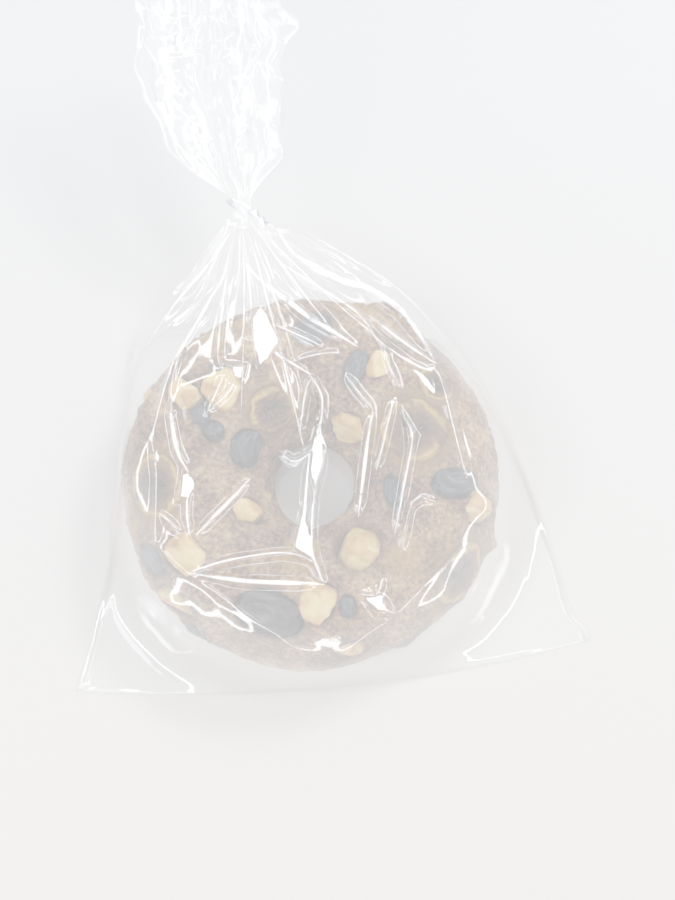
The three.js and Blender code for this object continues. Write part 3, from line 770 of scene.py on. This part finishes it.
def facetNoise(u, v, seed):  # flat triangles with random heights at their corners, from -1 to 1
    size = 61
    table = np.random.default_rng(seed).uniform(-1, 1, (size, size))
    i, j = np.floor(u).astype(int), np.floor(v).astype(int)
    fu, fv = u - i, v - j
    corners = ((0, 0), (1, 0), (0, 1), (1, 1))
    near, alongU, alongV, far = (table[(i + a) % size, (j + b) % size] for a, b in corners)
    low = near + fu * (alongU - near) + fv * (alongV - near)
    high = far + (1 - fu) * (alongV - far) + (1 - fv) * (alongU - far)
    return np.where(fu + fv < 1, low, high)


def tallest(pieces, xs, ys):  # the height of the highest point in each cell of the grid
    cell = bag["cell"]
    heights = np.zeros((len(xs), len(ys)))
    for piece in pieces:
        points = np.empty(len(piece.data.vertices) * 3, np.float32)
        piece.data.vertices.foreach_get("co", points)
        points = points.reshape(-1, 3) * 1000.0 - cakeAt
        i = np.clip(np.rint((points[:, 0] - xs[0]) / cell).astype(int), 0, len(xs) - 1)
        j = np.clip(np.rint((points[:, 1] - ys[0]) / cell).astype(int), 0, len(ys) - 1)
        np.maximum.at(heights, (i, j), points[:, 2])
    return heights


def meanAround(height):  # the mean of the four neighbours of each place inside the edge
    return (height[:-2, 1:-1] + height[2:, 1:-1] + height[1:-1, :-2] + height[1:-1, 2:]) / 4


def filmOver(pieces):  # how high a slack sheet lies over the pieces, as a grid of heights
    xs, ys = np.arange(*bag["gridX"], bag["cell"]), np.arange(*bag["gridY"], bag["cell"])
    obstacle = tallest(pieces, xs, ys)
    wide = obstacle.copy()  # the highest of each place and its neighbours, so nothing pokes through
    for di, dj in ((1, 0), (-1, 0), (0, 1), (0, -1)):
        wide = np.maximum(wide, np.roll(np.roll(obstacle, di, 0), dj, 1))
    wide = np.where(wide > 0.5, wide + bag["clearance"], bag["floorClearance"])
    x, y = np.meshgrid(xs, ys, indexing="ij")
    row = y.copy()
    for _ in range(6):
        row = y - frontOf(row) * seamShift(x)
    left, right, side, _ = alongOutline(row)
    neckTop = bag["neck"][2] + 1.6
    fixed = (x < left) | (x > right) | (row < bag["outline"][0][0]) | (row > bag["pouchTo"])
    height = np.where(fixed, np.where(row > bag["pouchTo"], neckTop, side), np.maximum(wide, side + 0.3))
    resting = (np.hypot(x, y) > bag["restsBeyond"][0]) & (y < bag["restsBeyond"][1])
    load = np.where(resting, -bag["sag"], bag["puff"])[1:-1, 1:-1]
    inner = (slice(1, -1), slice(1, -1))
    for _ in range(bag["settleSteps"]):
        settled = np.maximum(meanAround(height) + load, wide[inner])
        height[inner] = np.where(fixed[inner], height[inner], settled)
    for _ in range(bag["stiffSteps"]):  # film is too stiff to follow every crumb
        height[inner] = np.where(fixed[inner], height[inner], (meanAround(height) + height[inner]) / 2)
    return xs, ys, height, np.where(obstacle > 0.5, obstacle + 0.25, 0.3)


def readGrid(xs, ys, grid, x, y):
    u = np.clip((x - xs[0]) / bag["cell"], 0, len(xs) - 1.001)
    v = np.clip((y - ys[0]) / bag["cell"], 0, len(ys) - 1.001)
    i, j = u.astype(int), v.astype(int)
    fu, fv = u - i, v - j
    return ((grid[i, j] * (1 - fu) + grid[i + 1, j] * fu) * (1 - fv)
            + (grid[i, j + 1] * (1 - fu) + grid[i + 1, j + 1] * fu) * fv)


def drawFan():  # pleats spreading from the neck: angle, height, length and how they bend
    fan = bag["fan"]
    draw = np.random.default_rng(fan["seed"])
    pleats = []
    for k in range(fan["pleats"]):
        place = (k + 0.5 + draw.uniform(-0.45, 0.45)) / fan["pleats"] * 2 * fan["spread"] - fan["spread"]
        tall = draw.uniform(*fan["tall"])
        length = fan["length"][0] + draw.random() ** 1.7 * np.ptp(fan["length"])
        pleats.append((place, tall, length, draw.uniform(-0.06, 0.06)))
    return pleats


fanPleats = drawFan()


def wrinkles(x, y):  # everything that is folded into the top of the pouch, in mm
    total = np.zeros(x.shape)
    for points, tall, halfWidth, _ in creases.values():
        total = np.maximum(total, creaseField(x, y, points, tall, halfWidth))
    acrossNeck, fromNeck = x - bag["neck"][0], bag["neck"][1] - y
    reach = np.hypot(acrossNeck, fromNeck)
    angle = np.degrees(np.arctan2(acrossNeck, fromNeck))
    for place, tall, length, bend in fanPleats:
        gap = np.abs(np.radians(angle - place - bend * reach)) * reach
        halfWidth = np.clip(0.045 * reach + 0.6, 0.8, 3.2)
        fade = smoothStep(-reach, -length, -0.3 * length) * smoothStep(reach, 4, 12)
        total = np.maximum(total, tall * fade * foldShape(gap, halfWidth))
    flap = smoothStep(np.hypot(x, y), 62, 74)
    spread = smoothStep(reach, 6, 60)
    rumple = facetNoise(reach / 34 + 30, angle / 11 + 30, 5)
    rumple += facetNoise(x / 17 + y / 40 + 30, y / 26 + 30, 9) * 0.5
    rumple += flap * facetNoise(x / 9 + 30 - y / 19, y / 11 + 30, 13) * 0.3
    return total + bag["crumple"] * (0.5 + 0.2 * flap) * spread * (rumple + 0.6)


def relief(grids, x, y):  # height of the film's top, away from its edges
    neckLike = smoothStep(y, bag["neckFrom"], bag["pouchTo"])
    return readGrid(*grids, x, y) + wrinkles(x, y) * (1 - 0.5 * neckLike)


def flatsOver(grids, x, y, base):  # lifts the film onto each flat facet, with steep sides round it
    lamp = np.array(studio["boxes"]["windowBox"][0])
    eye = np.array(scene.camera.location) * 1000 - cakeAt
    for corners, stand in flats:
        middle = np.mean(corners, 0)
        level = relief(grids, *middle.reshape(2, 1))[0] + stand
        place = np.array([*middle, level])
        faces = sum(unit(there - place) for there in (lamp, eye))
        plane = level - ((x - middle[0]) * faces[0] + (y - middle[1]) * faces[1]) / faces[2]
        inside = np.full(x.shape, 1e3)
        around = list(corners)
        if sum((a[0] - b[0]) * (a[1] + b[1]) for a, b in zip(around, around[1:] + around[:1])) > 0:
            around = around[::-1]
        for a, b in zip(around, around[1:] + around[:1]):
            off = (x - a[0]) * (b[1] - a[1]) - (y - a[1]) * (b[0] - a[0])
            inside = np.minimum(inside, off / math.dist(a, b))
        blend = smoothStep(inside, -1.6, 0.1)
        base = base + (plane - base) * blend
    return base


def smoothLine(points, step):  # an even curve through the points
    ends = np.array(points, float)
    ends = np.concatenate([[2 * ends[0] - ends[1]], ends, [2 * ends[-1] - ends[-2]]])
    line = []
    for a, b, c, d in zip(ends, ends[1:], ends[2:], ends[3:]):
        t = np.arange(0, 1, step / max(math.dist(b, c), step))[:, None]
        line.append(b + 0.5 * t * (c - a + t * (2 * a - 5 * b + 4 * c - d + t * (3 * (b - c) + d - a))))
    return np.concatenate(line + [ends[-2:-1]])


def foldLines():  # where the film is pinched into a sharp fold, and how wide that fold is
    draw = np.random.default_rng(bag["sharp"]["seed"])
    lines = []
    for points, _, _, width in creases.values():
        if width > 0:
            lines.append((smoothLine(points, 1.0), width))
    for place, _, length, bend in fanPleats:
        reach = np.arange(8, 0.85 * length, 1.0)
        angle = np.radians(place + bend * reach)
        x, y = bag["neck"][0] + reach * np.sin(angle), bag["neck"][1] - reach * np.cos(angle)
        left, right = alongOutline(y)[:2]
        within = (x > left + 2) & (x < right - 2)
        if draw.random() < bag["sharp"]["share"] and within[:12].all():
            last = len(within) if within.all() else np.argmin(within)
            lines.append((np.stack([x, y], -1)[:last], draw.uniform(*bag["sharp"]["fan"])))
    return lines


def sharpFolds(grids):  # three-sided ridges; their long face leans so that it mirrors a strip
    eye = np.array(scene.camera.location) * 1000 - cakeAt
    reach, _, tall = studio["strips"]["rightStrip"][0]
    points, faces = [], []
    for number, (line, widest) in enumerate(foldLines()):
        if len(line) < 8:
            continue
        facesRight = number % 2 == 0
        z = flatsOver(grids, line[:, 0], line[:, 1], relief(grids, line[:, 0], line[:, 1]))
        for _ in range(3):
            z = np.convolve(np.pad(z, 2, mode="edge"), np.ones(5) / 5, "valid")
        path = np.column_stack([line, z + 0.1])
        ahead = units(np.gradient(path, axis=0))
        aside = units(np.cross(ahead, [0, 0, 1.0]) * (1 if facesRight else -1))
        up = np.cross(aside, ahead)
        up *= np.sign(up[:, 2:])
        toEye = units(eye - path)
        leans = np.radians(np.arange(4, 60, 0.5))[:, None, None]
        facing = np.cos(leans) * up + np.sin(leans) * aside
        mirrored = 2 * (facing * toEye).sum(-1, keepdims=True) * facing - toEye
        level = path[:, 2] + mirrored[..., 2] / np.abs(mirrored[..., :2]).max(-1) * reach
        best = leans[np.argmin(np.abs(level - tall), 0), 0]
        done = np.linspace(0, 1, len(path))
        wander = 0.8 + 0.4 * noiseAt(path, 14, number)
        width = (widest * np.maximum(np.sin(math.pi * done), 0.02) ** 0.7 * wander)[:, None]
        low = path + aside * width / 2
        high = path - aside * width / 2 + up * width * np.tan(best)
        foot = path - aside * width * 0.6 - up * 0.05
        start, last = sum(len(p) for p in points), 3 * len(path)
        points.append(np.stack([low, high, foot], 1).reshape(-1, 3))
        skin = gridFaces(len(path), 3).tolist() + [[2, 1, 0], [last - 3, last - 2, last - 1]]
        faces += [[start + corner for corner in (face[::-1] if facesRight else face)] for face in skin]
    return np.concatenate(points), faces


def makePouch(grids, floorUnder, share, upper):  # from the front edge to the neck
    topCount = bag["topColumns"]
    row = np.linspace(bag["outline"][0][0], bag["pouchTo"], bag["pouchRows"])[:, None]
    left, right, side, under = alongOutline(row)
    neckLike = smoothStep(row, bag["neckFrom"], bag["pouchTo"])
    x = left + (right - left) * ((1 - neckLike) * share + neckLike * (1 - np.cos(math.pi * share)) / 2)
    y = row + frontOf(row) * seamShift(x)
    folds = wrinkles(x, y)
    edge = np.minimum(share, 1 - share)
    inward = smoothStep(edge, 0, 0.03) * smoothStep(row, -71.5, -69)
    roof = readGrid(*grids, x, y) + folds * inward * (1 - 0.5 * neckLike)
    roof[:, :topCount] = flatsOver(grids, x[:, :topCount], y[:, :topCount], roof[:, :topCount])
    roof = np.maximum(roof, readGrid(*grids[:2], floorUnder, x, y) * (row < 84))
    lens = np.sqrt(np.maximum(0, 1 - (2 * share - 1) ** 2))
    flat = np.stack([x, y, 0 * x], -1).reshape(-1, 3)
    ripple = 0.25 + 0.35 * np.abs(noiseAt(flat, 18, 4).reshape(x.shape))
    lower = np.where(row < 58, np.minimum(ripple, 0.85), side - (side - under) * lens ** 0.8)
    lower = lower + (side - lower) * smoothStep(-edge, -0.012, 0)
    lower = lower - folds * smoothStep(row, 66, 84) * 0.7 * smoothStep(edge, 0, 0.05)
    roof = side + (roof - side) * smoothStep(edge, -1e-6, 0.004)
    return np.stack([x, y, np.where(upper, roof, np.maximum(lower, 0.12))], -1)


def makeLooseEnd(turn, pouchEnd):  # the neck and the loose end, where the film is pleated into a ruffle
    table = np.array(bag["end"])
    start, stop = table[0, 0], table[-1, 0]
    past = (start + (stop - start) * np.linspace(0, 1, bag["endRows"]) ** 1.12)[:, None]
    halfWidth, halfHeight, depth, aside = (np.interp(past, table[:, 0], table[:, k]) for k in (1, 2, 3, 4))
    opened = smoothStep(past, 2.5, 26)
    wander = 0.5 * np.sin(2 * turn + past / 19) + 0.35 * np.sin(5 * turn - past / 13)
    lap = turn / (2 * math.pi)
    pleat = triangleWave(bag["endPleats"] * (turn + 0.12 * wander * opened) / (2 * math.pi) + 0.002 * past)
    minor = triangleWave(2.6 * bag["endPleats"] * (turn + 0.1 * wander) / (2 * math.pi) + 0.01 * past)
    loop = np.stack([np.cos(turn) * 2.6 + 0 * past, np.sin(turn) * 2.6 + 0 * past, past / 9 + 0 * turn], -1)
    rough = noiseAt(loop.reshape(-1, 3), 1.0, 8).reshape(loop.shape[:2])
    coarse = facetNoise(past / 9.5 + 30 + 0.7 * np.sin(turn * 2), 14 * lap + 30.5, 21)
    fine = facetNoise(past / 4.3 + 30 + 0.5 * np.sin(turn), 31 * lap + 30.5, 22)
    opposite = facetNoise(30 - past / 6.5 + np.cos(turn), 19 * lap + 30.5, 23)
    swell = 1 + depth * (2 * pleat - 1.2) + 0.6 * depth * (minor - 0.5)
    closeLap = smoothStep(0.5 - np.abs(lap), 0, 0.06)  # the facets fade out where the loop closes
    facets = closeLap * (0.75 * coarse + 0.42 * fine + 0.6 * opposite)
    bump = bag["endCrumple"] * opened * (facets + 0.3 * rough)
    x = bag["neck"][0] - aside + np.cos(turn) * (halfWidth * swell + bump)
    z = bag["neck"][2] + bag["rise"] * past + np.sin(turn) * (halfHeight * swell + bump)
    mouth = 1 + 0.02 * np.sin(3 * turn + 1) * smoothStep(past, 50, 88)
    y = bag["neck"][1] + past * mouth + 1.1 * opened * closeLap * fine
    y = y - np.sin(turn) * bag["rise"] * halfHeight * 0.35
    joinIn = smoothStep(past, -4.6, -2.6)[..., None]
    along = np.array([0, 1, bag["rise"]]) * (past - start)[..., None]
    return (pouchEnd[None] + along) * (1 - joinIn) + np.stack([x, y, z], -1) * joinIn


def sealFaces(share):  # the sealed front edge joins the top to the underside
    columns, topCount = len(share), bag["topColumns"]
    over, below = list(range(topCount + 1)), [0] + list(range(columns - 1, topCount - 1, -1))
    place = np.append(share, 0.0)
    faces = []
    i = j = 0
    while i < len(over) - 1 or j < len(below) - 1:
        overNext = place[over[i + 1]] if i < len(over) - 1 else 2
        belowNext = place[below[j + 1]] if j < len(below) - 1 else 2
        if overNext <= belowNext:
            corners, i = (over[i], below[j], over[i + 1]), i + 1
        else:
            corners, j = (over[i], below[j], below[j + 1]), j + 1
        if len(set(corners)) == 3:
            faces.append(corners)
    return faces


def makeFilm(pieces, material):
    *grids, floorUnder = filmOver(pieces)
    topCount, underCount = bag["topColumns"], bag["underColumns"]
    share = np.concatenate([np.linspace(0, 1, topCount, endpoint=False),
                            np.linspace(1, 0, underCount, endpoint=False)])
    upper = np.arange(topCount + underCount) < topCount
    turn = np.where(upper, math.pi * (1 - share), -math.pi * (1 - share))
    pouch = makePouch(grids, floorUnder, share, upper)
    end = makeLooseEnd(turn, pouch[-1])
    points = np.concatenate([pouch, end[1:]]).reshape(-1, 3)
    faces = gridFaces(bag["pouchRows"] + bag["endRows"] - 1, topCount + underCount).tolist()
    faces += sealFaces(share)
    ridges, skins = sharpFolds(grids)
    smoothFaces = len(faces)
    faces += [[len(points) + corner for corner in face] for face in skins]
    points = np.concatenate([points, ridges])
    away, y = np.hypot(points[:, 0], points[:, 1]), points[:, 1]
    hanging = smoothStep(away, 50, 60) * smoothStep(-away, -74, -66) * smoothStep(-y, -20, 25)
    piece = newPiece("filmBag", points, faces, material, {"hanging": hanging})
    for polygon in piece.data.polygons[smoothFaces:]:
        polygon.use_smooth = False
    return piece


# how much of the light each face mirrors seen head on, how much more edge on, and how milky it looks
filmLook = {"mirror": 0.07, "mirrorEdgeOn": 0.8, "edgePower": 3.2, "milk": 0.03, "milkHanging": 0.06}


# clear crisp film: nearly all light goes straight through, and a face seen edge on mirrors more of it.
# Where it hangs down the cake's front it lies in many fine folds, which look a little milky
def makeFilmMaterial():
    material, tree, where = newMaterial("clearPolypropyleneFilm")
    ripple = addNode(tree, "ShaderNodeTexNoise", {"Scale": 1000 / 4, "Detail": 2}, {"Vector": where})
    bump = addNode(tree, "ShaderNodeBump", {"Strength": 0.10, "Distance": 0.0006},
                   {"Height": ripple.outputs[0]})
    facing = addNode(tree, "ShaderNodeLayerWeight", {"Blend": 0.5}, {"Normal": bump.outputs[0]})
    steep = addNode(tree, "ShaderNodeMath", {"operation": "POWER", 1: filmLook["edgePower"]},
                    {0: facing.outputs["Facing"]})
    share = addNode(tree, "ShaderNodeMath", {
        "operation": "MULTIPLY_ADD", 1: filmLook["mirrorEdgeOn"], 2: filmLook["mirror"]},
        {0: steep.outputs[0]})
    clear = addNode(tree, "ShaderNodeBsdfTransparent", {"Color": (0.995, 0.998, 0.998, 1)})
    white = toLinear("#FFFFFF")
    shine = addNode(tree, "ShaderNodeBsdfPrincipled", {
        "Base Color": white, "Metallic": 1.0, "Roughness": 0.07}, {"Normal": bump.outputs[0]})
    haze = addNode(tree, "ShaderNodeBsdfPrincipled", {"Base Color": white, "Roughness": 0.5})
    mirror = addNode(tree, "ShaderNodeMixShader", {},
                     {0: share.outputs[0], 1: clear.outputs[0], 2: shine.outputs[0]})
    hanging = addNode(tree, "ShaderNodeAttribute", {"attribute_name": "hanging"})
    milky = addNode(tree, "ShaderNodeMath", {
        "operation": "MULTIPLY_ADD", 1: filmLook["milkHanging"], 2: filmLook["milk"]},
        {0: hanging.outputs["Fac"]})
    crisp = addNode(tree, "ShaderNodeMixShader", {},
                    {0: milky.outputs[0], 1: mirror.outputs[0], 2: haze.outputs[0]})
    addNode(tree, "ShaderNodeOutputMaterial", {}, {"Surface": crisp.outputs[0]})
    return material


film = makeFilm([dough] + [piece for piece, name, kind in toppingPieces], makeFilmMaterial())
print("film triangles:", sum(len(p.vertices) - 2 for p in film.data.polygons))
scene.cycles.transparent_max_bounces = 32
print("film bag gathered")


# the twist tie: a foil ribbon with a wire along its middle, bent round the neck and twisted
tieBand = {
    "width": 2.1, "thickness": 0.2, "wire": 0.4, "steps": 220,
    # length of the twisted ends, their turns and half the space between them
    "twist": 7, "turns": 1.1, "strand": 0.95,
    # radius of the loop, degrees left open at its front on each side, and how far it slants
    "loop": 4.2, "spread": 32, "slant": 0.55,
}


def tieRoute():  # along one twisted end, round the neck and back along the other
    axis = unit(np.array([0, 1, bag["rise"]]))
    out = np.array([0.7, -0.27, 0.66])
    out = unit(out - axis * (out @ axis))
    across = np.cross(axis, out)
    loop, strand = tieBand["loop"], tieBand["strand"]

    def spot(outward, sideways, lengthways):  # the ends droop past the loop
        droop = 0.75 * max(0, outward - loop - 1)
        return np.array(bag["neck"]) + out * outward + across * sideways + axis * (lengthways - droop)

    half = []
    for k in range(24, -1, -1):
        done = k / 24
        spin = 2 * tieBand["turns"] * math.pi * done
        half.append((loop + 2 + tieBand["twist"] * done, strand * math.cos(spin), strand * math.sin(spin)))
    route = [spot(*place) for place in half]
    for k in range(49):
        angle = math.radians(tieBand["spread"] + (360 - 2 * tieBand["spread"]) * k / 48)
        sideways = loop * math.sin(angle)
        route.append(spot(loop * math.cos(angle), sideways, -tieBand["slant"] * sideways))
    return np.array(route + [spot(o, -a, -x) for o, a, x in half[::-1]])


def newGroup(name, sockets):  # a node tree with these inputs beside its geometry
    tree = bpy.data.node_groups.new(name, "GeometryNodeTree")
    for socket, kind in {"Geometry": "Geometry", **sockets}.items():
        tree.interface.new_socket(socket, in_out="INPUT", socket_type="NodeSocket" + kind)
    tree.interface.new_socket("Geometry", in_out="OUTPUT", socket_type="NodeSocketGeometry")
    return tree, addNode(tree, "NodeGroupInput").outputs


def finishGroup(tree, geometry, material):
    real = addNode(tree, "GeometryNodeRealizeInstances", {}, {"Geometry": geometry})
    done = addNode(tree, "GeometryNodeSetMaterial", {"Material": material}, {"Geometry": real.outputs[0]})
    addNode(tree, "NodeGroupOutput", {}, {0: done.outputs[0]})


def makeTie(material):
    tree, given = newGroup("twistTie", {
        "Width": "Float", "Thickness": "Float", "Wire": "Float", "Steps": "Int"})
    path = addNode(tree, "GeometryNodeMeshToCurve", {}, {"Mesh": given["Geometry"]})
    even = addNode(tree, "GeometryNodeResampleCurve", {},
                   {"Curve": path.outputs[0], "Count": given["Steps"]})
    flat = addNode(tree, "GeometryNodeCurvePrimitiveQuadrilateral", {},
                   {"Width": given["Width"], "Height": given["Thickness"]})
    core = addNode(tree, "GeometryNodeCurvePrimitiveCircle", {"Resolution": 12}, {"Radius": given["Wire"]})
    both = addNode(tree, "GeometryNodeJoinGeometry")
    tree.links.new(core.outputs[0], both.inputs[0])
    tree.links.new(flat.outputs[0], both.inputs[0])
    swept = addNode(tree, "GeometryNodeCurveToMesh", {"Fill Caps": True},
                    {"Curve": even.outputs[0], "Profile Curve": both.outputs[0]})
    finishGroup(tree, swept.outputs[0], material)
    route = ((tieRoute() + cakeAt) / 1000).tolist()
    guide = addMesh("tieGuide", route, [(k, k + 1) for k in range(len(route) - 1)], [])
    band = fromNodes(guide, tree, "twistTie", material, {
        "Width": tieBand["width"] / 1000, "Thickness": tieBand["thickness"] / 1000,
        "Wire": tieBand["wire"] / 1000, "Steps": tieBand["steps"]})
    bpy.data.objects.remove(guide)
    return band


def fromNodes(holder, tree, name, material, settings):  # runs the node tree once and keeps the plain mesh
    modifier = holder.modifiers.new("nodes", "NODES")
    modifier.node_group = tree
    for item in tree.interface.items_tree:
        if item.in_out == "INPUT" and item.name in settings:
            modifier[item.identifier] = settings[item.name]
    evaluated = holder.evaluated_get(bpy.context.evaluated_depsgraph_get())
    mesh = bpy.data.meshes.new_from_object(evaluated)
    mesh.name = name
    mesh.materials.clear()
    mesh.materials.append(material)
    mesh.shade_smooth()
    piece = bpy.data.objects.new(name, mesh)
    scene.collection.objects.link(piece)
    holder.modifiers.remove(modifier)
    return piece


# metallised paper ribbon: silver, finely creased along its length, satin
def makeTieMaterial():
    material, tree, where = newMaterial("metallisedPaper")
    crinkle = addNode(tree, "ShaderNodeTexNoise", {"Scale": 1000 / 0.7, "Detail": 3}, {"Vector": where})
    tone = addNode(tree, "ShaderNodeValToRGB", {"ramp": [(0.35, "#A9AEB4"), (0.6, "#F2F4F5")]},
                   {0: crinkle.outputs[0]})
    bump = addNode(tree, "ShaderNodeBump", {"Strength": 0.5, "Distance": 0.0002},
                   {"Height": crinkle.outputs[0]})
    foil = addNode(tree, "ShaderNodeBsdfPrincipled", {"Metallic": 0.9, "Roughness": 0.25},
                   {"Base Color": tone.outputs[0], "Normal": bump.outputs[0]})
    addNode(tree, "ShaderNodeOutputMaterial", {}, {"Surface": foil.outputs[0]})
    return material


tie = makeTie(makeTieMaterial())
shinyPieces.objects.link(film)
shinyPieces.objects.link(tie)
print("neck tied")


# crumbs that stick to the crust
crumbs = {"Density": 60000, "Apart": 0.0011, "Small": 0.0003, "Large": 0.0008, "Seed": 4}  # in metres


def makeCrumbs(material):
    tree, given = newGroup("crumbs", {
        "Density": "Float", "Apart": "Float", "Small": "Float", "Large": "Float", "Seed": "Int"})
    where = addNode(tree, "GeometryNodeInputNamedAttribute", {"data_type": "FLOAT", "Name": "crumbly"})
    spots = addNode(tree, "GeometryNodeDistributePointsOnFaces", {"distribute_method": "POISSON"}, {
        "Mesh": given["Geometry"], "Distance Min": given["Apart"],
        "Density Max": given["Density"], "Density Factor": where.outputs[0], "Seed": given["Seed"]})
    lump = addNode(tree, "GeometryNodeMeshIcoSphere", {"Radius": 1.0, "Subdivisions": 2})
    place = addNode(tree, "GeometryNodeInputPosition")
    rough = addNode(tree, "ShaderNodeTexNoise", {"Scale": 1.3, "Detail": 1}, {"Vector": place.outputs[0]})
    centred = addNode(tree, "ShaderNodeVectorMath", {"operation": "SUBTRACT", 1: (0.5, 0.5, 0.5)},
                      {0: rough.outputs["Color"]})
    dented = addNode(tree, "GeometryNodeSetPosition", {},
                     {"Geometry": lump.outputs[0], "Offset": centred.outputs[0]})
    size = addNode(tree, "FunctionNodeRandomValue", {"data_type": "FLOAT"},
                   {2: given["Small"], 3: given["Large"], "Seed": given["Seed"]})
    tumble = addNode(tree, "FunctionNodeRandomValue", {"data_type": "FLOAT_VECTOR", 1: (6.28, 6.28, 6.28)},
                     {"Seed": given["Seed"]})
    copies = addNode(tree, "GeometryNodeInstanceOnPoints", {}, {
        "Points": spots.outputs[0], "Instance": dented.outputs[0],
        "Rotation": tumble.outputs[0], "Scale": size.outputs[1]})
    finishGroup(tree, copies.outputs[0], material)
    return fromNodes(dough, tree, "crumbs", material, crumbs)


looseCrumbs = makeCrumbs(dough.data.materials[0])
print("crumbs scattered:", len(looseCrumbs.data.polygons))

scene.view_settings.view_transform = "Standard"
scene.view_settings.exposure = -0.1
scene.view_settings.gamma = 3.5  # a very pale, high-key look

# what stands for what
rides = [(dough, ["honey_cake"], "dough"), (looseCrumbs, [], "dough"), (tie, ["twist_tie"], "tie"),
         (film, ["film_bag", "film_end"], "film")]
rides += [(piece, [name], kind) for piece, name, kind in toppingPieces]
for piece, nodes, slot in rides:
    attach(piece, body)
    if nodes:
        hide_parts(*nodes)
